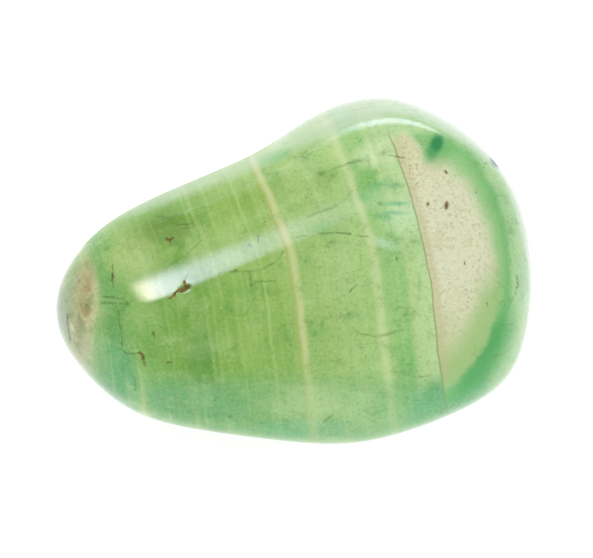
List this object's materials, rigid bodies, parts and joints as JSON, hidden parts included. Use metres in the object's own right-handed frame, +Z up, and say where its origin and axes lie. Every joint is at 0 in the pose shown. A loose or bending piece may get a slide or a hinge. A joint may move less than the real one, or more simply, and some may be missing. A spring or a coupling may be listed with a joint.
{
  "type": "agate",
  "caption": "Tumbled pebble of green banded agate with a cream quartz eye and rust-flecked cracks, polished all over and lying on its flattest side: a decorative or collector's stone.",
  "frame": {"origin": "on the surface that the stone rests on, below the middle of its bounding box", "axes": "+X along the stone's length, from its narrow tip to its broad end; +Y away from the side that the picture was taken from; +Z up"},
  "size_m": [0.0336, 0.0256, 0.0186],
  "materials": {
    "agate": "tumbled to a high polish"
  },
  "bodies": {
    "root": {"agate": "agate"}
  },
  "joints": []
}
